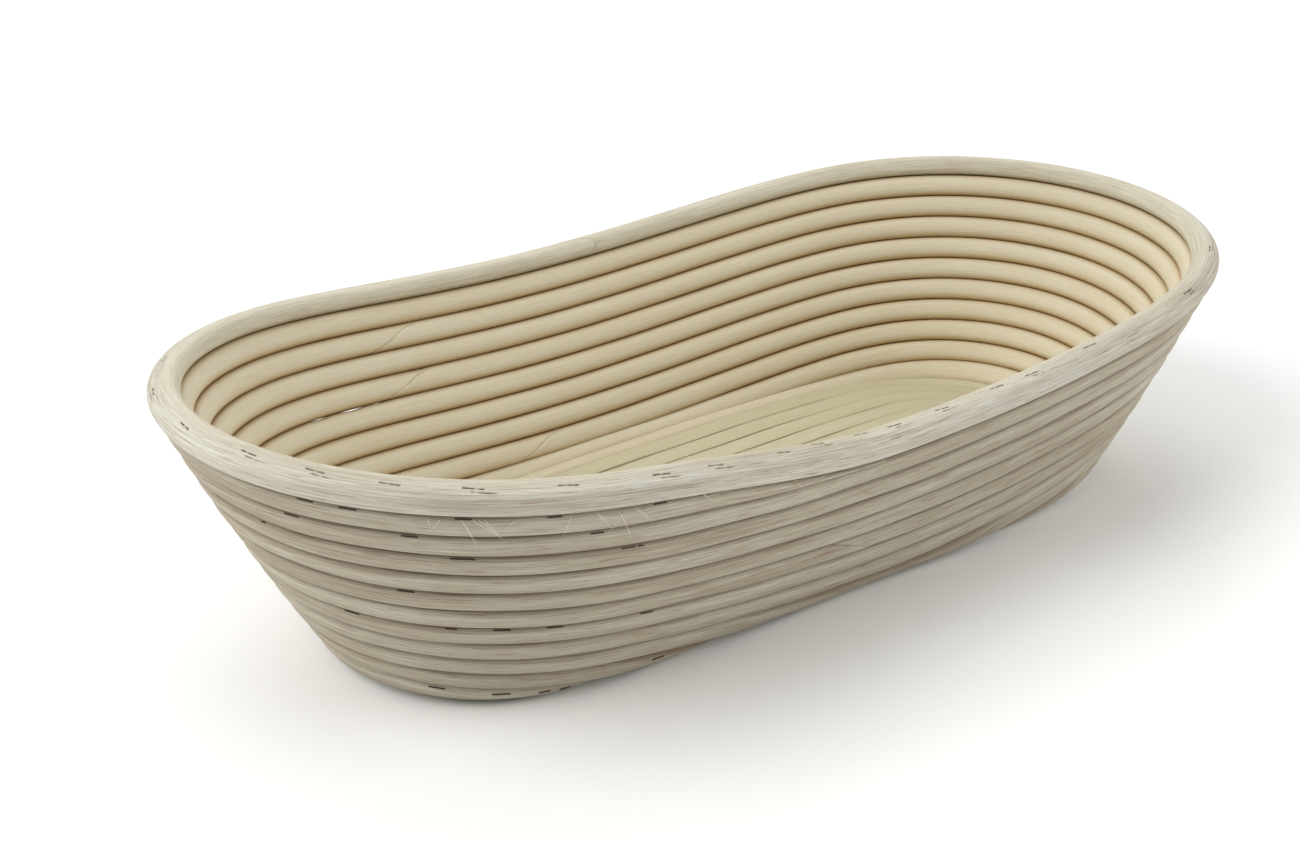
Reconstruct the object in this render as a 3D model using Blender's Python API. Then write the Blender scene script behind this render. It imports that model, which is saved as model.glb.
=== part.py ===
"""Long oval proofing basket (banneton): one thin rattan cane coiled from the middle of the floor
up to a stapled rim hoop. Metres, +Z up, the long way along X, standing on z = 0."""
import bpy
import bmesh
import math
from mathutils import Vector

for thing in list(bpy.data.objects):
    bpy.data.objects.remove(thing, do_unlink=True)

MM = 0.001
TURN = 2.0 * math.pi

# ---------------------------------------------------------------- the basket's measures
PITCH = 8.0 * MM            # from one turn of cane to the next
GAP = 0.3 * MM              # left between canes that touch
CANE_HALF_WIDTH = 4.1 * MM  # half the cane through the wall
OVAL_LENGTH = 97.6 * MM     # half length of the slim oval that the outline is drawn round
OVAL_WIDTH = 13.6 * MM      # half width of that slim oval, the slight belly of the long sides
FLOOR_RADIUS = 48.4 * MM    # from the slim oval out to the foot of the wall
HEEL_RADIUS = 7.5 * MM      # bend from floor to wall
FLARE = 0.473               # lean of the wall outwards, radians from upright
FLARE_BOW = 0.0248          # the wall leans this much more at its foot, and less above BOW_HEIGHT
BOW_HEIGHT = 36.0 * MM
WALL_TOP = 75.85 * MM       # slant height of the first turn under the hoop, where it starts
SADDLE = 9.9 * MM           # turns ride up the wall at the ends and dip along the sides
HOOP_HALF_WIDTH = 4.55 * MM
HOOP_HALF_HEIGHT = 3.7 * MM
# The basket was bent by hand, so it isn't quite even. Cosine and sine waves round it, counted
# from the right-hand end: once, twice and three times round, and four times for the saddle.
FLARE_WAVES = ((-0.030, 0.032), (0.028, 0.0), (0.024, -0.015))
FOOT_WAVES = ((1.46 * MM, 0.42 * MM), (-1.44 * MM, -3.24 * MM), (-0.89 * MM, -2.79 * MM))
SADDLE_WAVES = ((-0.25 * MM, 1.25 * MM), (9.86 * MM, 1.05 * MM), (0.0, -0.56 * MM),
                (-0.75 * MM, 0.0))
TIP_BEARING = math.radians(263.7)   # where the coil's last turn has been pared away to nothing
TIP_TURNS = 0.1055                  # length of the pared tip, in turns
TIP_HALF_HEIGHT = 0.25 * MM
PAST_TIP = 0.09                     # the hoop stays clear of the tip for this part of a turn
INNER_END = 15.85                  # turns from the pared tip down to the middle of the floor
SCARF = 2.4                         # length of a slanting joint over the cane's width

# ---------------------------------------------------------------- shape of the coil
STEPS = 34                          # straight runs in one turn, closer together round the ends
SIDES = 10                          # faces round a cane
END_CROWDING = 0.27


def bearing_of(step):
    """Bearing of a station; stations are crowded round the two ends, where the cane bends."""
    even = TURN * step / STEPS
    return even - END_CROWDING * math.sin(2.0 * even)


def slim_oval(angle):
    """Point on the slim oval and its outward direction."""
    nx = math.cos(angle) / OVAL_LENGTH
    ny = math.sin(angle) / OVAL_WIDTH
    size = math.hypot(nx, ny)
    return OVAL_LENGTH * math.cos(angle), OVAL_WIDTH * math.sin(angle), nx / size, ny / size


def evenly_spaced():
    """Slim-oval angles at equal distances along the outline, half way up the wall."""
    reach = FLOOR_RADIUS + 25.0 * MM
    normal_steps = 2400
    angles = set()
    for i in range(normal_steps):
        turn = TURN * i / normal_steps
        angles.add(turn)
        angles.add(math.atan2(OVAL_WIDTH * math.sin(turn), OVAL_LENGTH * math.cos(turn)) % TURN)
    angles = sorted(angles) + [TURN]
    lengths = [0.0]
    before = None
    for angle in angles:
        x, y, nx, ny = slim_oval(angle)
        here = Vector((x + reach * nx, y + reach * ny))
        if before is not None:
            lengths.append(lengths[-1] + (here - before).length)
        before = here
    return angles, lengths


ANGLES, LENGTHS = evenly_spaced()


def angle_at(bearing):
    """Slim-oval angle for a bearing measured by distance round the basket."""
    want = (bearing % TURN) / TURN * LENGTHS[-1]
    low = 0
    high = len(LENGTHS) - 1
    while high - low > 1:
        middle = (low + high) // 2
        if LENGTHS[middle] <= want:
            low = middle
        else:
            high = middle
    share = (want - LENGTHS[low]) / max(LENGTHS[high] - LENGTHS[low], 1e-12)
    return ANGLES[low] + share * (ANGLES[high] - ANGLES[low])


def waves(bearing, strengths):
    """Sum of cosine and sine waves round the basket: once round, twice round and so on."""
    total = 0.0
    for times, (cosine, sine) in enumerate(strengths, start=1):
        total += cosine * math.cos(times * bearing) + sine * math.sin(times * bearing)
    return total


def heel_and_wall(slant, flare):
    """Distance out from the foot, height, and lean, for a slant distance up from the foot."""
    bend = 0.5 * math.pi - flare
    half_arc = 0.5 * HEEL_RADIUS * bend
    reach = HEEL_RADIUS * math.tan(0.5 * bend)
    if slant <= -half_arc:
        return slant + half_arc - reach, 0.0, 0.5 * math.pi
    if slant < half_arc:
        swing = (slant + half_arc) / HEEL_RADIUS
        out = HEEL_RADIUS * math.sin(swing) - reach
        return out, HEEL_RADIUS * (1.0 - math.cos(swing)), 0.5 * math.pi - swing
    run = slant + reach - half_arc
    return run * math.sin(flare), run * math.cos(flare), flare


def frame_at(bearing, slant):
    """Middle of a cane on the wall or floor, with the directions up the wall and out through it.
    Towards the middle of the floor the ovals lose their belly and close on a straight strip."""
    shut = FLOOR_RADIUS + OVAL_WIDTH - SADDLE
    full = min(max((slant + shut) / (shut - PITCH), 0.0), 1.0)
    belly = OVAL_WIDTH * min(max((slant + shut) / shut, 0.0), 1.0)
    rise = slant + full * waves(bearing, SADDLE_WAVES) - (1.0 - full) * SADDLE
    flare = FLARE + FLARE_BOW * (1.0 - max(rise, 0.0) / BOW_HEIGHT)
    flare = flare + waves(bearing, FLARE_WAVES)
    out, up, lean = heel_and_wall(rise, flare)
    x, y, nx, ny = slim_oval(angle_at(bearing))
    half_length = OVAL_LENGTH - OVAL_WIDTH + belly + 2.0 * SADDLE * (1.0 - full)
    radius = FLOOR_RADIUS + full * waves(bearing, FOOT_WAVES) + OVAL_WIDTH - belly + out
    centre = Vector((x / OVAL_LENGTH * half_length, y / OVAL_WIDTH * belly, up + CANE_HALF_WIDTH))
    outward = Vector((nx, ny, 0.0))
    centre = centre + radius * outward
    upright = Vector((0.0, 0.0, 1.0))
    up_wall = math.sin(lean) * outward + math.cos(lean) * upright
    through = math.cos(lean) * outward - math.sin(lean) * upright
    return centre, up_wall, through


def section(frame, half_height, half_width):
    """Corners of a round cane, its flat faces looking in and out of the basket. The underside of
    the basket is sanded level, so that no corner reaches below the table."""
    centre, up_wall, through = frame
    flat = math.cos(math.pi / SIDES)
    corners = []
    for side in range(SIDES):
        angle = math.pi / SIDES + TURN * side / SIDES
        wide = half_width / flat * math.cos(angle)
        high = half_height * math.sin(angle)
        corner = centre + wide * through + high * up_wall
        corner.z = max(corner.z, 0.0)
        corners.append(corner)
    return corners


def station_of(turns):
    """Place along the coil, in stations, for a number of turns down from the pared tip."""
    bearing = TIP_BEARING - TURN * turns
    low = math.floor(bearing / TURN * STEPS) - 4
    high = low + 9
    while high - low > 1:
        middle = (low + high) // 2
        if bearing_of(middle) <= bearing:
            low = middle
        else:
            high = middle
    share = (bearing - bearing_of(low)) / (bearing_of(high) - bearing_of(low))
    return low + share


def turns_of(station):
    return (TIP_BEARING - bearing_of(station)) / TURN


def pared_half_height(turns):
    """Half the height of the coil's top turn: next to nothing at the tip, then a full cane."""
    share = min(max(turns / TIP_TURNS, 0.0), 1.0)
    share = share * share * (3.0 - 2.0 * share)
    return TIP_HALF_HEIGHT + (0.5 * (PITCH - GAP) - TIP_HALF_HEIGHT) * share


def coil_frame(station):
    return frame_at(bearing_of(station), WALL_TOP - PITCH * turns_of(station))


def room_at(station):
    """Half the room a cane has between the turns on its two sides: it is pressed a little
    narrower where they crowd together, in the hairpins of the floor, and over the heel, where
    turns that lean over each other would meet at their inner corners."""
    centre, up_wall, through = coil_frame(station)
    run = (coil_frame(station + 1)[0] - centre).normalized()
    corner = 0.15 * TURN
    room = 0.5 * (PITCH - GAP)
    for beside in (station - STEPS, station + STEPS):
        if 0.0 < turns_of(beside) < INNER_END:
            apart = coil_frame(beside)[0] - centre
            apart = apart - run * apart.dot(run)
            half = 0.5 * apart.length - 0.5 * GAP
            lean = abs(through.dot(apart)) / apart.length
            inner_corner = half - CANE_HALF_WIDTH * lean * math.cos(corner)
            room = min(room, half, inner_corner / (math.sin(corner) * math.sqrt(1.0 - lean * lean)))
    return room


def coil_section(station):
    turns = turns_of(station)
    half_height = room_at(station)
    slant = WALL_TOP - PITCH * turns
    if turns < TIP_TURNS:
        half_height = pared_half_height(turns)
        slant = slant - 0.5 * (PITCH - GAP) + half_height
    return section(frame_at(bearing_of(station), slant), half_height, CANE_HALF_WIDTH)


def hoop_slant(bearing):
    """Slant height of the hoop's centre: it lies on the coil's last turn all the way round."""
    turns = ((TIP_BEARING - bearing) / TURN) % 1.0
    if turns > 1.0 - PAST_TIP:
        turns = turns - 1.0
    edge = WALL_TOP + 0.5 * PITCH - PITCH * turns
    if turns < TIP_TURNS:
        edge = edge - (PITCH - GAP) + 2.0 * pared_half_height(turns)
    return edge + 0.5 * GAP + HOOP_HALF_HEIGHT


def hoop_section(station):
    bearing = bearing_of(station)
    frame = frame_at(bearing, hoop_slant(bearing))
    return section(frame, HOOP_HALF_HEIGHT, HOOP_HALF_WIDTH)


# ---------------------------------------------------------------- making solids
collection = bpy.data.collections.new("banneton_basket")
bpy.context.scene.collection.children.link(collection)
workshop = bpy.data.collections.new("workshop")
bpy.context.scene.collection.children.link(workshop)


def material(name, colour, roughness, metallic):
    stuff = bpy.data.materials.new(name)
    stuff.use_nodes = True
    shader = stuff.node_tree.nodes["Principled BSDF"]
    shader.inputs["Base Color"].default_value = colour
    shader.inputs["Roughness"].default_value = roughness
    shader.inputs["Metallic"].default_value = metallic
    stuff.diffuse_color = colour
    return stuff


rattan = material("rattan", (0.72, 0.60, 0.42, 1.0), 0.7, 0.0)
hoop_rattan = material("hoop_rattan", (0.76, 0.68, 0.54, 1.0), 0.75, 0.0)
wire = material("staple_wire", (0.32, 0.29, 0.25, 1.0), 0.45, 1.0)


def along(section_at, station):
    """Section between two stations, on the straight run that joins them."""
    low = math.floor(station)
    share = station - low
    here = section_at(low)
    there = section_at(low + 1)
    return [a.lerp(b, share) for a, b in zip(here, there)]


def slanted_end(section_at, station, trim):
    """Corners of a cane cut on a slant at a station, trimmed back to leave half the joint's gap."""
    run = (section_at(math.floor(station))[0] - section_at(math.floor(station) + 1)[0]).length
    corners = []
    for side in range(SIDES):
        angle = math.pi / SIDES + TURN * side / SIDES
        slope = SCARF * CANE_HALF_WIDTH * math.cos(angle)
        corners.append(along(section_at, station + (slope + trim) / run)[side])
    return corners


def cane_rings(section_at, start, end):
    """Rings of a length of cane from station start up to station end."""
    trim = 0.5 * GAP * math.sqrt(1.0 + SCARF * SCARF)
    rings = [slanted_end(section_at, start, trim)]
    for station in range(math.floor(start) + 1, math.ceil(end)):
        rings.append(section_at(station))
    rings.append(slanted_end(section_at, end, -trim))
    return rings


def solid(name, rings, stuff):
    """Closed skin over a row of rings, shaded smooth round the cane and flat over its cut ends."""
    mesh = bpy.data.meshes.new(name)
    work = bmesh.new()
    rows = []
    for ring in rings:
        rows.append([work.verts.new(corner) for corner in ring])
    for before, after in zip(rows, rows[1:]):
        for side in range(len(before)):
            beside = (side + 1) % len(before)
            face = work.faces.new((before[side], before[beside], after[beside], after[side]))
            face.smooth = True
    work.faces.new(list(reversed(rows[0])))
    work.faces.new(rows[-1])
    bmesh.ops.triangulate(work, faces=[f for f in work.faces if len(f.verts) > 4])
    bmesh.ops.recalc_face_normals(work, faces=work.faces)
    work.to_mesh(mesh)
    work.free()
    mesh.materials.append(stuff)
    thing = bpy.data.objects.new(name, mesh)
    collection.objects.link(thing)
    return thing


def coil_length(name, upper, lower):
    """One length of the coiled cane, between two distances down the coil counted in turns.
    The joints are moved to the middle of a straight run."""
    start = math.floor(station_of(lower)) + 0.5
    end = math.floor(station_of(upper)) + 0.5
    rings = cane_rings(coil_section, start, end)
    return solid(name, rings, rattan)


# ---------------------------------------------------------------- floor
# Two lengths of cane lie flat on the table. The inner one starts as a straight strip in the
# middle; it is doubled back on itself at the right-hand end and wound outwards.
coil_length("floor_cane_inner", 12.45, INNER_END)
coil_length("floor_cane_outer", 9.95, 12.45)

# ---------------------------------------------------------------- wall
# Five lengths of cane, each scarfed to the next with a slanting joint and stapled to the turn
# below. The lowest bends out of the floor over the heel.
coil_length("wall_cane_bottom", 7.45, 9.95)
coil_length("wall_cane_lower", 5.0, 7.45)
coil_length("wall_cane_middle", 3.4, 5.0)
coil_length("wall_cane_upper", 1.4, 3.4)
coil_length("wall_cane_top", 0.004, 1.4)

# ---------------------------------------------------------------- rim hoop
# A stouter cane closed on itself with one slanting joint at the back.
HOOP_JOINT = 8.5             # in stations
hoop = solid("rim_hoop", cane_rings(hoop_section, HOOP_JOINT, HOOP_JOINT + STEPS), hoop_rattan)

# ---------------------------------------------------------------- rim staples
# Narrow staples driven down into the hoop, each sunk in the slit it has cut.
STAPLE_LENGTH = 6.6 * MM
STAPLE_WIRE = 0.6 * MM
STAPLE_WIDTH = 1.0 * MM
STAPLE_LEG = 4.2 * MM
STAPLE_SUNK = 0.9 * MM
FRONT_STAPLES = (169.0, 179.5, 189.0, 196.0, 202.5, 209.5, 218.0, 227.5, 234.5, 245.0, 251.5, 259.0,
                 264.5, 272.5, 282.0, 288.0, 298.0, 318.0)
BACK_STAPLES = 20


def staple_prism(name, frame, rise, grow, roof, home):
    """A staple's shape, or with grow and roof the slit it sits in: a bridge on two legs."""
    centre, run, up_wall, through = frame
    half = 0.5 * STAPLE_LENGTH + grow
    inner = 0.5 * STAPLE_LENGTH - STAPLE_WIRE - grow
    top = rise + roof
    under = rise - STAPLE_WIRE - grow
    foot = rise - STAPLE_LEG - grow
    outline = [(-half, top), (-half, foot), (-inner, foot), (-inner, under)]
    outline += [(inner, under), (inner, foot), (half, foot), (half, top)]
    rings = []
    for side in (-1.0, 1.0):
        deep = side * (0.5 * STAPLE_WIDTH + grow)
        rings.append([centre + a * run + b * up_wall + deep * through for a, b in outline])
    mesh = bpy.data.meshes.new(name)
    work = bmesh.new()
    front = [work.verts.new(p) for p in rings[0]]
    back = [work.verts.new(p) for p in rings[1]]
    for i in range(len(outline)):
        j = (i + 1) % len(outline)
        work.faces.new((front[i], front[j], back[j], back[i]))
    for row in (front, back):
        work.faces.new((row[0], row[1], row[2], row[3]))
        work.faces.new((row[0], row[3], row[4], row[7]))
        work.faces.new((row[4], row[5], row[6], row[7]))
    bmesh.ops.recalc_face_normals(work, faces=work.faces)
    work.to_mesh(mesh)
    work.free()
    thing = bpy.data.objects.new(name, mesh)
    home.objects.link(thing)
    return thing


def hoop_frame(bearing):
    """Middle of the hoop on its straight run, and directions along, up and through it."""
    low = math.floor(bearing / TURN * STEPS) - 3
    while bearing_of(low + 1) <= bearing:
        low += 1
    share = (bearing - bearing_of(low)) / (bearing_of(low + 1) - bearing_of(low))
    ends = []
    for station in (low, low + 1):
        ends.append(frame_at(bearing_of(station), hoop_slant(bearing_of(station))))
    centre = ends[0][0].lerp(ends[1][0], share)
    run = (ends[1][0] - ends[0][0]).normalized()
    up_wall = ends[0][1].lerp(ends[1][1], share)
    up_wall = (up_wall - run * up_wall.dot(run)).normalized()
    through = run.cross(up_wall)
    if through.dot(ends[0][2]) < 0.0:
        through = -through
    return centre, run, up_wall, through


bearings = [math.radians(b) for b in FRONT_STAPLES]
for number in range(BACK_STAPLES):
    wander = 0.028 * math.sin(2.4 * number)
    bearings.append(math.radians(331.0) + math.radians(188.0) * number / (BACK_STAPLES - 1) + wander)

cutter = None
for number, bearing in enumerate(bearings):
    frame = hoop_frame(bearing)
    rise = HOOP_HALF_HEIGHT - STAPLE_SUNK
    staple = staple_prism(f"rim_staple_{number + 1:02d}", frame, rise, 0.0, 0.0, collection)
    staple.data.materials.append(wire)
    slit = staple_prism("staple_slit", frame, rise, GAP, STAPLE_SUNK + 2.0 * MM, workshop)
    slit.hide_render = True
    slit.display_type = "WIRE"
    cut = hoop.modifiers.new("slit", "BOOLEAN")
    cut.operation = "DIFFERENCE"
    cut.solver = "EXACT"
    cut.object = slit

# ---------------------------------------------------------------- set down
# The basket stands on z = 0 with the middle of its outline over the origin.
low = Vector((1.0, 1.0, 1.0))
high = Vector((-1.0, -1.0, -1.0))
for thing in collection.objects:
    for vertex in thing.data.vertices:
        for axis in range(3):
            low[axis] = min(low[axis], vertex.co[axis])
            high[axis] = max(high[axis], vertex.co[axis])
shift = Vector((-0.5 * (low.x + high.x), -0.5 * (low.y + high.y), -low.z))
for thing in list(collection.objects) + list(workshop.objects):
    for vertex in thing.data.vertices:
        vertex.co = vertex.co + shift
    thing.data.update()
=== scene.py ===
import math

import bmesh
import bpy
import numpy as np
from mathutils import Matrix, Vector


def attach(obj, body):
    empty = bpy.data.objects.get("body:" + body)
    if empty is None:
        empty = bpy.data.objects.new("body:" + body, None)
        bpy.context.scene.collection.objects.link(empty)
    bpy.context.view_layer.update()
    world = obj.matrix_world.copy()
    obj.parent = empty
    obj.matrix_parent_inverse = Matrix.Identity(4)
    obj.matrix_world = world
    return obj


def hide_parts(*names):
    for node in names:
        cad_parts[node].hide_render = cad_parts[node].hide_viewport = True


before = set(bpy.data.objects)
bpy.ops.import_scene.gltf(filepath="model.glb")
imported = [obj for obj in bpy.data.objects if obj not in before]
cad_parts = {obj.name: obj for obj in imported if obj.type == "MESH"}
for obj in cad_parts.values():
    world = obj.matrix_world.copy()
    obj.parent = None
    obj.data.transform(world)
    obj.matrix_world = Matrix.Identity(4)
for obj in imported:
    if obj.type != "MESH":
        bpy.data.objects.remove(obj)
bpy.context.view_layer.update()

# ---- Floor of the basket --------------------------------------------------------------------
# Two lengths of peeled rattan cane, 8 mm thick, laid flat in long ovals. The inner one starts as
# a straight strip in the middle and is doubled back at the end, then the coil is wound outwards.
MM = 0.001
TURN = 2.0 * math.pi
PITCH = 8.0 * MM                    # from one turn of cane to the next
CANE_WIDE = 4.1 * MM                # half a cane through the wall
OVAL_LONG = 97.6 * MM               # the slim oval that every turn is drawn round
OVAL_BELLY = 13.6 * MM
FOOT = 48.4 * MM                    # from the slim oval to the foot of the wall
HEEL = 7.5 * MM                     # radius of the bend from floor to wall
FLARE = 0.473                       # lean of the wall, radians from upright
FLARE_BOW = 0.0248                  # it leans a little more at the foot than at the rim
BOW_HEIGHT = 36.0 * MM
WALL_TOP = 75.85 * MM               # slant height where the top turn starts
SADDLE = 9.9 * MM                   # turns ride up at the ends and dip along the sides
# bent by hand, so not quite even: cosine and sine waves once, twice and more times round
FLARE_WAVES = ((-0.030, 0.032), (0.028, 0.0), (0.024, -0.015))
FOOT_WAVES = ((1.46 * MM, 0.42 * MM), (-1.44 * MM, -3.24 * MM), (-0.89 * MM, -2.79 * MM))
SADDLE_WAVES = ((-0.25 * MM, 1.25 * MM), (9.86 * MM, 1.05 * MM), (0.0, -0.56 * MM),
                (-0.75 * MM, 0.0))
TIP_BEARING = math.radians(263.7)   # where the top turn is pared away to nothing
TIP_TURNS = 0.1055
TIP_HALF_HEIGHT = 0.25 * MM         # what the knife left of it there
OUTSIDE_POWER = 3.0                 # superellipse powers: flatter outside, rounder inside
INSIDE_POWER = 2.45
SCARF = 12.0 * MM                   # a joint slants this far to either side of its middle
END_GAP = 0.05 * MM                 # and is as good as closed
FLOOR_FROM = 9.3                    # turns down the coil; from here the canes lie pressed flat
# where the cane is nicked and lets light through the wall: turns down the coil, spread, depth
NICKS = ((3.4075, 0.003, 0.22 * MM), (4.353, 0.003, 0.3 * MM), (4.370, 0.005, 0.42 * MM),
         (4.383, 0.0025, 0.3 * MM))
SET_DOWN = Vector((0.7864 * MM, -5.4998 * MM, 0.0))   # centres the outline on the origin
draws = np.random.default_rng(20)


def slim_oval(angle):
    nx = np.cos(angle) / OVAL_LONG
    ny = np.sin(angle) / OVAL_BELLY
    size = np.hypot(nx, ny)
    return OVAL_LONG * np.cos(angle), OVAL_BELLY * np.sin(angle), nx / size, ny / size


even = np.linspace(0.0, TURN, 4801)[:-1]
spread = np.arctan2(OVAL_BELLY * np.sin(even), OVAL_LONG * np.cos(even)) % TURN
oval_angles = np.append(np.unique(np.concatenate([even, spread])), TURN)
oval_x, oval_y, oval_nx, oval_ny = slim_oval(oval_angles)
half_way_up = FOOT + 25.0 * MM
steps = np.hypot(np.diff(oval_x + half_way_up * oval_nx), np.diff(oval_y + half_way_up * oval_ny))
oval_lengths = np.append(0.0, np.cumsum(steps))


def waves(bearing, strengths):
    total = 0.0
    for times, (cosine, sine) in enumerate(strengths, start=1):
        total = total + cosine * np.cos(times * bearing) + sine * np.sin(times * bearing)
    return total


def frames(bearing, slant):
    """Middle of the coil, up the wall and out through it, for bearings round the basket and
    slant heights up from the foot; towards the middle of the floor the ovals close on a strip."""
    angle = np.interp((bearing % TURN) / TURN * oval_lengths[-1], oval_lengths, oval_angles)
    x, y, nx, ny = slim_oval(angle)
    shut = FOOT + OVAL_BELLY - SADDLE
    full = np.clip((slant + shut) / (shut - PITCH), 0.0, 1.0)
    belly = OVAL_BELLY * np.clip((slant + shut) / shut, 0.0, 1.0)
    rise = slant + full * waves(bearing, SADDLE_WAVES) - (1.0 - full) * SADDLE
    flare = FLARE + FLARE_BOW * (1.0 - np.maximum(rise, 0.0) / BOW_HEIGHT)
    flare = flare + waves(bearing, FLARE_WAVES)
    bend = 0.5 * math.pi - flare
    half_arc = 0.5 * HEEL * bend
    reach = HEEL * np.tan(0.5 * bend)
    swing = np.clip((rise + half_arc) / HEEL, 0.0, bend)
    flat_part = np.minimum(rise + half_arc, 0.0)
    wall_part = np.maximum(rise - half_arc, 0.0)
    out = flat_part - reach + HEEL * np.sin(swing) + wall_part * np.sin(flare)
    up = HEEL * (1.0 - np.cos(swing)) + wall_part * np.cos(flare)
    lean = 0.5 * math.pi - swing
    length = OVAL_LONG - OVAL_BELLY + belly + 2.0 * SADDLE * (1.0 - full)
    radius = FOOT + full * waves(bearing, FOOT_WAVES) + OVAL_BELLY - belly + out
    centre = np.stack([x / OVAL_LONG * length + radius * nx,
                       y / OVAL_BELLY * belly + radius * ny, up + CANE_WIDE], -1)
    centre = centre + np.array(SET_DOWN)
    rising = np.stack([np.sin(lean) * nx, np.sin(lean) * ny, np.cos(lean)], -1)
    through = np.stack([np.cos(lean) * nx, np.cos(lean) * ny, -np.sin(lean)], -1)
    return centre, rising, through


def wander(along, wave, seed):
    """A slow unevenness between -1 and 1 along a cane, made of a few long waves."""
    turns = np.random.default_rng(seed).uniform(0.0, TURN, 5)
    total = np.zeros_like(along)
    for i, start in enumerate(turns):
        total = total + np.sin(along / (wave * (1.0 + 0.47 * i)) * TURN + start) / (1.0 + 0.6 * i)
    return total / 2.2


def skin(name, rings, grain, inside, groove_shade, slit_shade, looks):
    """A closed bar over rows of corners. Each corner keeps its place in the straight cane, how
    far it faces into the basket, and how much painted shade it gets in a groove and in a cut slit."""
    count, sides = rings.shape[:2]
    corner = np.arange(count * sides).reshape(count, sides)
    low = corner[:-1]
    high = corner[1:]
    quads = np.stack([low, np.roll(low, -1, 1), np.roll(high, -1, 1), high], -1).reshape(-1, 4)
    faces = quads.tolist()
    faces.append(corner[0, ::-1].tolist())
    faces.append(corner[-1].tolist())
    mesh = bpy.data.meshes.new(name)
    mesh.from_pydata(rings.reshape(-1, 3).tolist(), [], faces)
    mesh.polygons.foreach_set("use_smooth", [True] * (len(faces) - 2) + [False, False])
    layer = mesh.attributes.new("grain", "FLOAT_VECTOR", "POINT")
    layer.data.foreach_set("vector", np.ascontiguousarray(grain, np.float32).ravel())
    for label, values in (("inside", inside), ("groove_shade", groove_shade), ("slit_shade", slit_shade)):
        layer = mesh.attributes.new(label, "FLOAT", "POINT")
        layer.data.foreach_set("value", np.ascontiguousarray(values, np.float32).ravel())
    mesh.materials.append(looks)
    piece = bpy.data.objects.new(name, mesh)
    bpy.context.scene.collection.objects.link(piece)
    work = bmesh.new()
    work.from_mesh(mesh)
    bmesh.ops.recalc_face_normals(work, faces=work.faces)
    work.to_mesh(mesh)
    work.free()
    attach(piece, "root")
    return piece


def cane(name, node, upper, lower, seed, looks, step=2.2 * MM, sides=40):
    """One length of the coil between two distances down it in turns, cut on a slant at its ends.
    Round towards the inside, where it was formed on the mould, and flatter on the outside."""
    pared = upper < 0.01
    sampled = np.linspace(lower + 0.05, upper if pared else upper - 0.05, 5000)
    middle = frames(TIP_BEARING - TURN * sampled, WALL_TOP - PITCH * sampled)[0]
    length = np.append(0.0, np.cumsum(np.linalg.norm(np.diff(middle, axis=0), axis=1)))
    start, finish = np.interp([-lower, -upper], -sampled, length)
    along = np.linspace(start, finish - END_GAP, int((finish - start) / step))[:, None]
    around = TURN * np.arange(sides) / sides
    across = np.cos(around)
    height = np.sin(around)
    # the corners lean over at a joint and are upright again three slants further on
    slanting = np.clip(1.0 - (along - start) / (3.0 * SCARF), 0.0, 1.0)
    if not pared:
        slanting = slanting + np.clip(1.0 - (finish - along) / (3.0 * SCARF), 0.0, 1.0)
    place = along - SCARF * height * slanting
    turns = np.interp(place, length, sampled)
    share = np.clip(turns / TIP_TURNS, 0.0, 1.0)
    share = share * share * (3.0 - 2.0 * share)
    flat = np.clip(turns - FLOOR_FROM, 0.0, 1.0)
    half = 0.5 * PITCH * (1.006 + 0.007 * wander(place, 70 * MM, seed) + 0.03 * flat)
    thin = TIP_HALF_HEIGHT + (half - TIP_HALF_HEIGHT) * share
    slant = WALL_TOP - PITCH * turns - half + thin
    centre, rising, through = frames(TIP_BEARING - TURN * turns, slant)
    wide = CANE_WIDE * (1.0 + 0.012 * wander(place, 55 * MM, seed + 1))
    power = 2.0 / np.where(across > 0.0, OUTSIDE_POWER, INSIDE_POWER)
    bulge = np.where(across > 0.0, 1.0, 1.0 - 0.9 * flat)
    x = wide * np.sign(across) * (1.0 - bulge * (1.0 - np.abs(across) ** power))
    y = thin * np.sign(height) * np.abs(height) ** power
    for worn, spread_out, deep in NICKS:
        bite = deep * np.exp(-((turns - worn) / spread_out) ** 2) * height ** 2
        y = y - np.where(height > 0.0, bite, 0.0)
    shift = 0.16 * MM * wander(place, 48 * MM, seed + 2)
    rings = centre + rising * y[..., None] + through * (x + shift)[..., None]
    rings[..., 2] = np.maximum(rings[..., 2], 0.0)
    grain = np.stack([place + 3.0 * seed, x, y], -1) / MM
    inside = np.clip(0.5 - 0.9 * across, 0.0, 1.0) * np.ones_like(place)
    # painted shade towards the grooves between turns, fainter where the floor lies flat
    groove_shade = np.abs(height) ** np.where(across > 0.0, 5.0, 3.2) * (1.0 - 0.8 * flat)
    piece = skin(name, rings, grain, inside, groove_shade, np.zeros_like(place), looks)
    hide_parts(node)
    return piece


def linear(hex_colour):
    """An sRGB hex colour as linear values."""
    parts = [int(hex_colour[i:i + 2], 16) / 255.0 for i in (1, 3, 5)]
    return [v / 12.92 if v <= 0.04045 else ((v + 0.055) / 1.055) ** 2.4 for v in parts] + [1.0]


def node(tree, kind, links=None, **settings):
    """Adds one node; links maps an input to another node's output, settings are its values."""
    made = tree.nodes.new(kind)
    for key, value in settings.items():
        if key.startswith("in_"):
            made.inputs[int(key[3:])].default_value = value
        else:
            setattr(made, key, value)
    for socket, source in (links or {}).items():
        tree.links.new(source, made.inputs[socket])
    return made


def ramp(made, stops):
    """Sets the stops of a colour ramp node."""
    band = made.color_ramp
    while len(band.elements) > len(stops):
        band.elements.remove(band.elements[-1])
    while len(band.elements) < len(stops):
        band.elements.new(0.5)
    for element, (place, colour) in zip(band.elements, stops):
        element.position = place
        element.color = colour if len(colour) == 4 else (*colour, 1.0)
    return made
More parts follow.
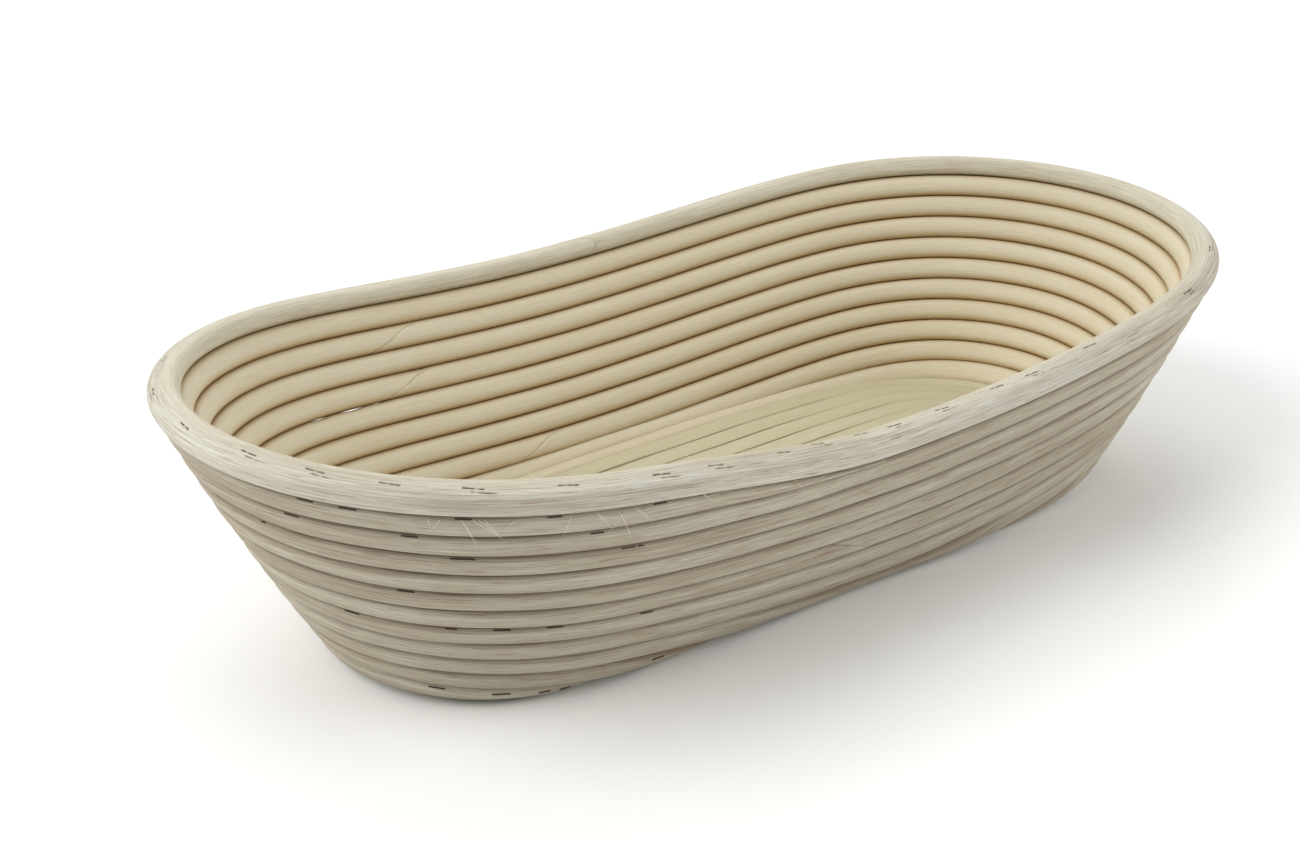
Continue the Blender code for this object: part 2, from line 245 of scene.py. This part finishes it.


# Peeled rattan: the core of the cane, split off its glossy bark, unvarnished. A matt cream wood
# of long open fibres; greyer and rougher on the outside, and smoother and warmer inside, where
# it lay on the mould. Shade in the grooves and in the slits is painted into the colour. The
# patterns are per millimetre, along the cane and across it. Real fibres are about 0.2 mm apart,
# too fine to show, so they are coarser.
FIBRES = (0.05, 2.7, 2.7)           # 20 mm long and 0.37 mm apart
VESSELS = (0.09, 3.6, 3.6)          # dark pores, 11 mm long and 0.28 mm wide
PATCHES = (0.012, 0.22, 0.22)       # changes of tone a hand's breadth long, half a cane wide


def peeled_rattan(name, outer_light, outer_dark, inner_light, inner_dark, fibre_depth):
    looks = bpy.data.materials.new(name)
    looks.use_nodes = True
    tree = looks.node_tree
    shader = tree.nodes["Principled BSDF"]
    shader.inputs["IOR"].default_value = 1.5
    shader.inputs["Specular IOR Level"].default_value = 0.35
    grain = node(tree, "ShaderNodeAttribute", attribute_name="grain").outputs["Vector"]
    inside = node(tree, "ShaderNodeAttribute", attribute_name="inside").outputs["Fac"]
    groove_shade = node(tree, "ShaderNodeAttribute", attribute_name="groove_shade").outputs["Fac"]
    slit_shade = node(tree, "ShaderNodeAttribute", attribute_name="slit_shade").outputs["Fac"]
    fine = node(tree, "ShaderNodeMapping", {0: grain}, in_3=FIBRES).outputs[0]
    fibres = node(tree, "ShaderNodeTexNoise", {"Vector": fine}, in_2=1.0, in_3=2.0, in_4=0.7)
    # only the darkest of the pattern shows as vessels that the peeling has cut open
    vessel = node(tree, "ShaderNodeMapping", {0: grain}, in_3=VESSELS).outputs[0]
    vessels = node(tree, "ShaderNodeTexNoise", {"Vector": vessel}, in_2=1.0, in_3=1.5, in_4=0.5)
    vessels = ramp(node(tree, "ShaderNodeValToRGB", {0: vessels.outputs[0]}),
                   [(0.33, (1, 1, 1)), (0.36, (0, 0, 0))]).outputs[0]
    slow = node(tree, "ShaderNodeMapping", {0: grain}, in_3=PATCHES).outputs[0]
    patches = node(tree, "ShaderNodeTexNoise", {"Vector": slow}, in_2=1.0, in_3=0.5, in_4=0.5)
    tone = node(tree, "ShaderNodeMath", {0: patches.outputs[0], 2: fibres.outputs[0]},
                operation="MULTIPLY_ADD", in_1=0.5)
    tone = node(tree, "ShaderNodeMapRange", {0: tone.outputs[0]}, in_1=0.5, in_2=1.0)
    # the tone picks between a light and a dark colour, with less contrast inside
    outer = node(tree, "ShaderNodeMix", {0: tone.outputs[0]}, data_type="RGBA")
    outer.inputs[6].default_value = linear(outer_dark)
    outer.inputs[7].default_value = linear(outer_light)
    tone_in = node(tree, "ShaderNodeMapRange", {0: tone.outputs[0]}, in_1=-0.8, in_2=1.6)
    inner = node(tree, "ShaderNodeMix", {0: tone_in.outputs[0]}, data_type="RGBA")
    inner.inputs[6].default_value = linear(inner_dark)
    inner.inputs[7].default_value = linear(inner_light)
    both = node(tree, "ShaderNodeMix", {0: inside, 6: outer.outputs[2], 7: inner.outputs[2]},
                data_type="RGBA")
    rough_side = node(tree, "ShaderNodeMath", {0: inside}, operation="MULTIPLY_ADD",
                      in_1=-0.62, in_2=0.72).outputs[0]
    dark = node(tree, "ShaderNodeMath", {0: vessels, 1: rough_side}, operation="MULTIPLY")
    lined = node(tree, "ShaderNodeMix", {0: dark.outputs[0], 6: both.outputs[2]},
                 data_type="RGBA")
    lined.inputs[7].default_value = linear("#8F7363")
    # painted shade in the grooves and under the hoop: dark brown outside, golden brown inside
    groove_shade_colour = node(tree, "ShaderNodeMix", {0: inside}, data_type="RGBA")
    groove_shade_colour.inputs[6].default_value = linear("#4F3322")
    groove_shade_colour.inputs[7].default_value = linear("#AE8638")
    shade = node(tree, "ShaderNodeMath", {0: groove_shade}, operation="MULTIPLY", in_1=0.8)
    groove_shaded = node(tree, "ShaderNodeMix",
                   {0: shade.outputs[0], 6: lined.outputs[2], 7: groove_shade_colour.outputs[2]},
                   data_type="RGBA")
    # painted shade, nearly black, inside the slits that the staples have cut
    slit_and_shade = node(tree, "ShaderNodeMix", {0: slit_shade, 6: groove_shaded.outputs[2]}, data_type="RGBA")
    slit_and_shade.inputs[7].default_value = linear("#3A2416")
    tree.links.new(slit_and_shade.outputs[2], shader.inputs["Base Color"])
    rough = node(tree, "ShaderNodeMapRange", {0: fibres.outputs[0]}, in_3=0.82, in_4=0.62)
    tree.links.new(rough.outputs[0], shader.inputs["Roughness"])
    # the fibres stand out a quarter as much inside
    depth = node(tree, "ShaderNodeMath", {0: inside}, operation="MULTIPLY_ADD",
                 in_1=-0.75 * fibre_depth, in_2=fibre_depth)
    ridge = node(tree, "ShaderNodeMath", {0: fibres.outputs[0], 1: depth.outputs[0]},
                 operation="MULTIPLY")
    bump = node(tree, "ShaderNodeBump", {"Height": ridge.outputs[0]})
    bump.inputs["Distance"].default_value = 0.4 * MM
    bump.inputs["Strength"].default_value = 1.0
    tree.links.new(bump.outputs[0], shader.inputs["Normal"])
    return looks


coil_rattan = peeled_rattan("peeled_rattan_coil", "#C4BEAC", "#958871", "#DAD6C4", "#C7B58E",
                            0.8)
# the floor's cane is a shade darker and greener on its inner side than the wall's
floor_rattan = peeled_rattan("peeled_rattan_floor", "#C4BEAC", "#958871", "#CBC8B0", "#B8AC84",
                             0.8)
cane("floor_inner_cane", "floor_cane_inner", 12.45, 15.85, 11, floor_rattan)
cane("floor_outer_cane", "floor_cane_outer", 9.95, 12.45, 12, floor_rattan)

# ---- Wall -----------------------------------------------------------------------------------
# Five more lengths of the same cane climb the wall, one turn to every 8 mm, scarfed end to end.
# The top one is pared away to nothing under the rim, so that the hoop comes to lie level.
cane("wall_bottom_cane", "wall_cane_bottom", 7.45, 9.95, 13, coil_rattan)
cane("wall_lower_cane", "wall_cane_lower", 5.0, 7.45, 14, coil_rattan)
cane("wall_middle_cane", "wall_cane_middle", 3.4, 5.0, 15, coil_rattan)
cane("wall_upper_cane", "wall_cane_upper", 1.4, 3.4, 16, coil_rattan)
cane("wall_top_cane", "wall_cane_top", 0.004, 1.4, 17, coil_rattan)

# ---- Rim hoop -------------------------------------------------------------------------------
# A stouter cane laid on the last turn and closed on itself with one slanting joint at the back.
# It is the palest length of the basket, and the one whose fibres stand up the most.
HOOP_WIDE = 4.55 * MM
HOOP_HIGH = 3.7 * MM
HOOP_JOINT = math.radians(87.0)
HOOP_SCARF = 11.5 * MM              # slant of the joint to either side of its middle
HOOP_SCARF_FADE = 36.0 * MM
# staples along the near side: degrees round the basket, and mm towards the hoop's outside
FRONT_STAPLES = ((169.2, 1.25), (179.5, 0.5), (188.8, -0.5), (195.8, -0.5), (202.5, 0.0),
                 (209.5, 0.0), (217.8, 0.0), (227.5, 0.25), (234.5, 0.0), (245.2, -1.0),
                 (251.5, -2.25), (259.0, -2.25), (264.5, -1.5), (272.5, -1.25), (282.0, -1.25),
                 (287.8, -0.75), (298.2, -1.0), (318.0, 0.5))
BACK_STAPLES = 20                   # the rest, from the right end round the back to the left
PAST_TIP = 0.09                     # of a turn, where the hoop comes down behind the pared tip
SLIT_HALF = 2.8 * MM                # half the length and half the width of a staple's slit
SLIT_NARROW = 0.16 * MM
SLIT_DEEP = 0.6 * MM
TWIN_ASIDE = (2.0 * MM, 1.2 * MM)   # the cut of the staple's other leg, along and outwards
staple_bearings = [math.radians(b) for b, _ in FRONT_STAPLES]
slit_sides = [side * MM for _, side in FRONT_STAPLES]
for number in range(BACK_STAPLES):
    stray = 0.028 * math.sin(2.4 * number)
    staple_bearings.append(math.radians(331.0) + math.radians(188.0) * number / 19.0 + stray)
    slit_sides.append(draws.uniform(-1.2, 1.0) * MM)


def hoop_slant(bearing):
    """The hoop rests on the coil's last turn all the way round."""
    turns = ((TIP_BEARING - bearing) / TURN) % 1.0
    turns = np.where(turns > 1.0 - PAST_TIP, turns - 1.0, turns)
    share = np.clip(turns / TIP_TURNS, 0.0, 1.0)
    share = share * share * (3.0 - 2.0 * share)
    top = WALL_TOP + 0.5 * PITCH - PITCH * turns
    left_over = 2.0 * TIP_HALF_HEIGHT
    pared = top - PITCH + left_over + (PITCH - left_over) * share
    past_tip = top - PITCH + left_over * np.clip((turns + PAST_TIP) / PAST_TIP, 0.0, 1.0)
    under = np.where(turns < TIP_TURNS, np.where(turns < 0.0, past_tip, pared), top)
    return under + HOOP_HIGH


hoop_bearings = np.linspace(HOOP_JOINT - 0.2, HOOP_JOINT + TURN + 0.2, 6401)
middle = frames(hoop_bearings, hoop_slant(hoop_bearings))[0]
hoop_length = np.append(0.0, np.cumsum(np.linalg.norm(np.diff(middle, axis=0), axis=1)))
staple_places = np.interp([HOOP_JOINT + (b - HOOP_JOINT) % TURN for b in staple_bearings],
                          hoop_bearings, hoop_length)
start, finish = np.interp([HOOP_JOINT, HOOP_JOINT + TURN], hoop_bearings, hoop_length)
# rings of corners every 2 mm, and close together at the slits; corners close together on top
stations = list(np.linspace(start, finish - 0.15 * MM, 470))
for place in staple_places:
    stations += list(place + np.linspace(-SLIT_HALF - 0.8 * MM, SLIT_HALF + 0.8 * MM, 38))
stations = np.unique(np.round(np.array(stations), 5))
around = np.radians(np.append(np.linspace(60.0, 120.0, 45)[:-1],
                              np.linspace(120.0, 420.0, 53)[:-1]))
across = np.cos(around)
height = np.sin(around)
ends = np.clip(1.0 - (stations - stations[0]) / HOOP_SCARF_FADE, 0.0, 1.0)
ends = ends + np.clip(1.0 - (stations[-1] - stations) / HOOP_SCARF_FADE, 0.0, 1.0)
place = stations[:, None] + HOOP_SCARF * across * ends[:, None]
bearing = np.interp(place, hoop_length, hoop_bearings)
centre, rising, through = frames(bearing, hoop_slant(bearing))
wide = HOOP_WIDE * (1.0 + 0.012 * wander(place, 60 * MM, 31))
high = HOOP_HIGH * (1.0 + 0.015 * wander(place, 75 * MM, 32))
power = 2.0 / np.where(height > 0.0, 2.25, 2.9)    # round on top, squarer where it sits
x = wide * np.sign(across) * np.abs(across) ** power
y = np.where(height < 0.0, -HOOP_HIGH, high) * np.abs(height) ** power
# every staple has cut a slit along the top of the hoop, with a bridge of fibres left across it
slit_and_shade = np.zeros_like(place)
cuts = []
for number, (where, side) in enumerate(zip(staple_places, slit_sides)):
    cuts.append((where, side, 1.0, draws.uniform(-0.3, 0.3)))
    if number % 5 in (0, 2, 3):
        cuts.append((where + TWIN_ASIDE[0], side + TWIN_ASIDE[1], 0.5, draws.uniform(-0.6, 0.6)))
for where, side, depth, bare in cuts:
    near = (place - where) / SLIT_HALF
    reach = np.clip((1.0 - np.abs(near)) * 6.0, 0.0, 1.0)
    bridge = np.clip(np.abs(near - bare) * 2.6 + 0.1, 0.3, 1.0)
    skew = side + 0.06 * (place - where)
    narrow = np.clip(1.5 - np.abs(x - skew) / SLIT_NARROW, 0.0, 1.0)
    slit_and_shade = np.maximum(slit_and_shade, np.where(height > 0.0, depth * reach * bridge * narrow, 0.0))
y = y - SLIT_DEEP * slit_and_shade
rings = centre + rising * y[..., None] + through * x[..., None]
grain = np.stack([place, x, y], -1) / MM
inside = np.clip(0.35 - 0.9 * across, 0.0, 1.0) * 0.6 * np.ones_like(place)
# painted shade along the underside of the hoop, where it sits on the coil
groove_shade = np.clip(-height, 0.0, 1.0) ** 8 * np.ones_like(place)
hoop_rattan = peeled_rattan("peeled_rattan_hoop", "#DBD8CA", "#A89E8B", "#D6D1BF", "#BFB596",
                            1.1)
# the slit mask that cuts the slits also goes in as painted shade inside them
hoop = skin("rim_hoop_cane", rings, grain, inside, groove_shade, slit_and_shade, hoop_rattan)
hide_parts("rim_hoop")

# ---- Rim staples ----------------------------------------------------------------------------
# Small staples of galvanised wire, dull and stained brown. Each is driven down through the hoop
# and lies sunk in the slit that it has cut.
RIM_CROWN = 5.5 * MM
RIM_LEG = 4.0 * MM
RIM_WIRE = 0.4 * MM
RIM_SUNK = 1.0 * MM                 # from the top of the hoop to the middle of the wire


def staple(work, middle, run, rising, through, crown, leg, wide, thick):
    """Adds one staple: a crown with rounded shoulders and two legs, in flat wire."""
    bend = 1.1 * thick
    corner = []
    for i in range(5):
        turn = 0.5 * math.pi * i / 4.0
        corner.append((0.5 * crown - bend + bend * math.sin(turn), -bend + bend * math.cos(turn)))
    corner.append((0.5 * crown, -leg))
    path = [(-a, b) for a, b in reversed(corner)] + corner
    rows = []
    for i, (a, b) in enumerate(path):
        before = path[max(i - 1, 0)]
        after = path[min(i + 1, len(path) - 1)]
        way = Vector((after[0] - before[0], after[1] - before[1])).normalized()
        out = Vector((-way.y, way.x))
        point = middle + a * run + b * rising
        lift = (out.x * run + out.y * rising) * 0.5 * thick
        half = through * 0.5 * wide
        rows.append([work.verts.new(point + lift + half), work.verts.new(point + lift - half),
                     work.verts.new(point - lift - half), work.verts.new(point - lift + half)])
    for before, after in zip(rows, rows[1:]):
        for i in range(4):
            j = (i + 1) % 4
            work.faces.new((before[i], before[j], after[j], after[i]))
    work.faces.new(rows[0])
    work.faces.new(list(reversed(rows[-1])))


def staple_piece(name, work, looks):
    """Turns the staples made so far into one piece."""
    bmesh.ops.recalc_face_normals(work, faces=work.faces)
    mesh = bpy.data.meshes.new(name)
    work.to_mesh(mesh)
    work.free()
    mesh.materials.append(looks)
    piece = bpy.data.objects.new(name, mesh)
    bpy.context.scene.collection.objects.link(piece)
    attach(piece, "root")
    return piece


# Galvanised steel wire gone dull: grey-brown, half rough, with stains a few millimetres across.
stained_wire = bpy.data.materials.new("stained_galvanised_wire")
stained_wire.use_nodes = True
tree = stained_wire.node_tree
shader = tree.nodes["Principled BSDF"]
shader.inputs["Metallic"].default_value = 0.6
coordinates = node(tree, "ShaderNodeTexCoord").outputs["Object"]
stains = node(tree, "ShaderNodeTexNoise", {"Vector": coordinates}, in_2=600.0, in_3=3.0)
colour = ramp(node(tree, "ShaderNodeValToRGB", {0: stains.outputs[0]}),
              [(0.35, linear("#4B3A2C")), (0.7, linear("#7A6A58"))])
tree.links.new(colour.outputs[0], shader.inputs["Base Color"])
dull = node(tree, "ShaderNodeMapRange", {0: stains.outputs[0]}, in_3=0.45, in_4=0.75)
tree.links.new(dull.outputs[0], shader.inputs["Roughness"])

work = bmesh.new()
for where, side in zip(staple_places, slit_sides):
    at = np.interp(where + np.array([-0.5, 0.0, 0.5]) * MM, hoop_length, hoop_bearings)
    c, r, t = frames(at, hoop_slant(at))
    run = Vector(c[2] - c[0]).normalized()
    rise = Vector(r[1])
    rise = (rise - run * rise.dot(run)).normalized()
    top = Vector(c[1]) + rise * (HOOP_HIGH - RIM_SUNK) + Vector(t[1]) * side
    staple(work, top, run, rise, run.cross(rise), RIM_CROWN, RIM_LEG, RIM_WIRE, RIM_WIRE)
rim_staples = staple_piece("rim_staples", work, stained_wire)
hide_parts(*[f"rim_staple_{i:02d}" for i in range(1, 39)])

# ---- Row staples ----------------------------------------------------------------------------
# The same wire holds each turn of the coil to the one below. Only the crowns show, sunk in the
# shoulder of the lower cane just where the groove begins, and they have gone dark.
SHOULDER_OUT = 2.95 * MM            # from the middle of a cane to its upper outer shoulder
SHOULDER_UP = 3.45 * MM
ROW_LEG = 2.2 * MM
ROW_WIRE = 0.3 * MM
ROW_PROUD = 0.14 * MM
# degrees round the basket, the turn held down, and how long the bare wire is
ROW_STAPLES = ((194.5, 0, 4.5), (198.5, 0, 4.5), (208.5, 0, 4.0), (216.5, 0, 3.5), (227.5, 0, 4.0),
               (192.0, 1, 4.5), (203.5, 1, 4.0), (221.0, 1, 3.5), (187.0, 2, 1.4), (208.0, 2, 6.0),
               (225.0, 2, 4.0), (226.5, 2, 1.6), (201.5, 4, 4.5), (193.0, 6, 4.5), (205.5, 6, 3.0),
               (211.5, 6, 4.5), (218.0, 6, 4.5), (230.5, 6, 4.0), (235.5, 9, 4.5), (200.5, 10, 4.5),
               (210.5, 10, 5.0), (217.5, 10, 3.5), (221.0, 10, 3.5), (314.5, 9, 5.0))
STAPLES_BEHIND = 44                 # spread evenly over the far side, in the golden ratio
GOLDEN = 0.618


def shoulder(bearing, turn):
    """A place on the upper outer shoulder of a turn, and the ways along it and out of it."""
    turns = turn + ((TIP_BEARING - bearing) / TURN) % 1.0
    at = bearing + np.array([-0.004, 0.0, 0.004])
    centre, rising, through = frames(at, WALL_TOP - PITCH * turns)
    run = Vector(centre[2] - centre[0]).normalized()
    out = (0.62 * Vector(through[1]) + 0.78 * Vector(rising[1])).normalized()
    place = Vector(centre[1]) + Vector(through[1]) * SHOULDER_OUT + Vector(rising[1]) * SHOULDER_UP
    return place, run, (out - run * out.dot(run)).normalized()


held = [(math.radians(b), turn, crown * MM) for b, turn, crown in ROW_STAPLES]
for number in range(STAPLES_BEHIND):
    bearing = math.radians(-25.0 + 185.0 * ((number * GOLDEN) % 1.0))
    held.append((bearing, number % 9, draws.uniform(2.0, 5.0) * MM))
work = bmesh.new()
for bearing, turn, crown in held:
    place, run, out = shoulder(bearing, turn)
    staple(work, place + out * ROW_PROUD, run, out, run.cross(out), crown, ROW_LEG, ROW_WIRE,
           ROW_WIRE)
# The same wire gone dark: nearly black brown and dull.
blackened_wire = bpy.data.materials.new("blackened_galvanised_wire")
blackened_wire.use_nodes = True
shader = blackened_wire.node_tree.nodes["Principled BSDF"]
shader.inputs["Base Color"].default_value = linear("#3A2417")
shader.inputs["Roughness"].default_value = 0.7
row_staples = staple_piece("row_staples", work, blackened_wire)

# ---- Loose fibres ---------------------------------------------------------------------------
# Hairs split off the peeled cane: most of them hang under the hoop where the top turn is pared
# thin, and a few stand up along the rim.
HAIR_HALF = 0.11 * MM
# degrees round the basket, length, and how far it leans along the cane
HAIRS = ((205.5, 3.0, 0.3), (206.6, 4.0, -0.5), (208.3, 8.0, 0.6), (209.2, 7.0, 1.4),
         (209.7, 9.0, 1.2), (210.2, 6.0, 0.9), (213.0, 3.5, -0.8), (218.0, 6.0, -0.4),
         (220.5, 5.0, 0.7), (222.8, 8.0, 0.2), (223.5, 9.0, -0.9), (224.6, 6.0, 0.8),
         (226.0, 4.0, -0.3), (233.0, 3.0, 0.9), (245.0, 6.0, 0.6), (250.5, 4.0, -0.7))
# those along the rim: degrees round the basket and length
RIM_HAIRS = ((186.5, 1.8), (193.5, 2.0), (203.0, 2.0), (215.0, 3.5), (221.0, 2.5), (232.5, 4.5),
             (240.0, 2.5), (262.0, 2.0))


def hair(work, root, along, away, length):
    """Adds one fibre: a thin three-sided thread that curls away from where it grows."""
    rows = []
    sideways = along.cross(away).normalized()
    for i in range(8):
        t = i / 7.0
        curl = 0.35 * length * t * t * draws.uniform(0.8, 1.0)
        lift = 0.45 * length * t - curl
        point = root + along * length * t + away * lift + sideways * curl * 0.2
        half = HAIR_HALF * (1.15 - t)
        rows.append([work.verts.new(point + half * (math.cos(turn) * away
                                                    + math.sin(turn) * sideways))
                     for turn in (0.0, TURN / 3.0, TURN / 1.5)])
    for before, after in zip(rows, rows[1:]):
        for i in range(3):
            j = (i + 1) % 3
            work.faces.new((before[i], before[j], after[j], after[i]))
    work.faces.new(rows[0])
    work.faces.new(list(reversed(rows[-1])))


work = bmesh.new()
for degrees, length, lean in HAIRS:
    place, run, out = shoulder(math.radians(degrees), 0)
    down = run.cross(out)
    down = down if down.z < 0.0 else -down
    hair(work, place - out * 0.2 * MM, (run * lean + down * 0.8 + out * 0.15).normalized(), out,
         length * MM)
for degrees, length in RIM_HAIRS:
    at = math.radians(degrees) + np.array([-0.004, 0.0, 0.004])
    c, r, t = frames(at, hoop_slant(at))
    run = Vector(c[2] - c[0]).normalized()
    root = Vector(c[1]) - Vector(t[1]) * 0.86 * HOOP_WIDE + Vector(r[1]) * 0.4 * HOOP_HIGH
    away = (Vector(r[1]) - 0.8 * Vector(t[1])).normalized()
    lean = draws.uniform(-1.2, 1.2)
    hair(work, root, (run * lean + away).normalized(), away, length * MM)
bmesh.ops.recalc_face_normals(work, faces=work.faces)
mesh = bpy.data.meshes.new("loose_fibres")
work.to_mesh(mesh)
work.free()
# Torn rattan fibre: nearly white and matt, as the light goes through it.
torn_fibre = bpy.data.materials.new("torn_rattan_fibre")
torn_fibre.use_nodes = True
shader = torn_fibre.node_tree.nodes["Principled BSDF"]
shader.inputs["Base Color"].default_value = linear("#E9E2CF")
shader.inputs["Roughness"].default_value = 0.75
mesh.materials.append(torn_fibre)
loose_fibres = bpy.data.objects.new("loose_fibres", mesh)
bpy.context.scene.collection.objects.link(loose_fibres)
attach(loose_fibres, "root")

# ---- Studio ---------------------------------------------------------------------------------
# A plain white table under four big soft lights, the strongest up on the left.
TABLE_HALF = 6.0
TABLE_BELOW = 0.0002                # just clear of the basket's underside
work = bmesh.new()
bmesh.ops.create_grid(work, x_segments=24, y_segments=24, size=TABLE_HALF)
mesh = bpy.data.meshes.new("table_top")
work.to_mesh(mesh)
work.free()
table = bpy.data.objects.new("table_top", mesh)
table.location.z = -TABLE_BELOW
bpy.context.scene.collection.objects.link(table)
# Matt white paper: it takes a soft shadow and gives no gloss.
white = bpy.data.materials.new("white_paper")
white.use_nodes = True
paper = white.node_tree.nodes["Principled BSDF"]
paper.inputs["Base Color"].default_value = linear("#FBFBFA")
paper.inputs["Roughness"].default_value = 0.9
mesh.materials.append(white)


def soft_light(name, place, aim, size, power):
    """A round soft box in metres and watts."""
    lamp = bpy.data.lights.new(name, "AREA")
    lamp.shape = "DISK"
    lamp.size = size
    lamp.energy = power
    thing = bpy.data.objects.new(name, lamp)
    thing.location = place
    thing.rotation_euler = (Vector(aim) - Vector(place)).to_track_quat("-Z", "Y").to_euler()
    bpy.context.scene.collection.objects.link(thing)


BASKET = (0.0, 0.0, 0.03)
soft_light("left", (-1.7, 0.45, 1.55), BASKET, 2.0, 43.0)
soft_light("overhead", (-0.2, 0.5, 2.3), BASKET, 2.0, 10.0)
soft_light("front_right", (1.5, -1.5, 1.0), BASKET, 2.0, 33.0)
soft_light("back_right", (0.9, 1.6, 1.4), BASKET, 2.0, 19.0)
world = bpy.data.worlds.new("studio")
bpy.context.scene.world = world
world.use_nodes = True
world.node_tree.nodes["Background"].inputs[0].default_value = linear("#FFFFFF")
world.node_tree.nodes["Background"].inputs[1].default_value = 0.25
bpy.context.scene.view_settings.view_transform = "Standard"

# The camera stands in front of the left half and looks down on the basket.
HEADING = 0.694                     # radians from +Y towards +X
DOWNWARD = 0.42245
ROLL = -0.0031
lens = bpy.data.cameras.new("camera")
lens.sensor_width = 36.0
lens.lens = 50.779
lens.clip_start = 0.01
camera = bpy.data.objects.new("camera", lens)
camera.location = (-0.36940, -0.40992, 0.27893)
turned = Matrix.Rotation(-HEADING, 3, "Z") @ Matrix.Rotation(0.5 * math.pi - DOWNWARD, 3, "X")
camera.rotation_euler = (turned @ Matrix.Rotation(ROLL, 3, "Z")).to_euler()
bpy.context.scene.collection.objects.link(camera)
bpy.context.scene.camera = camera
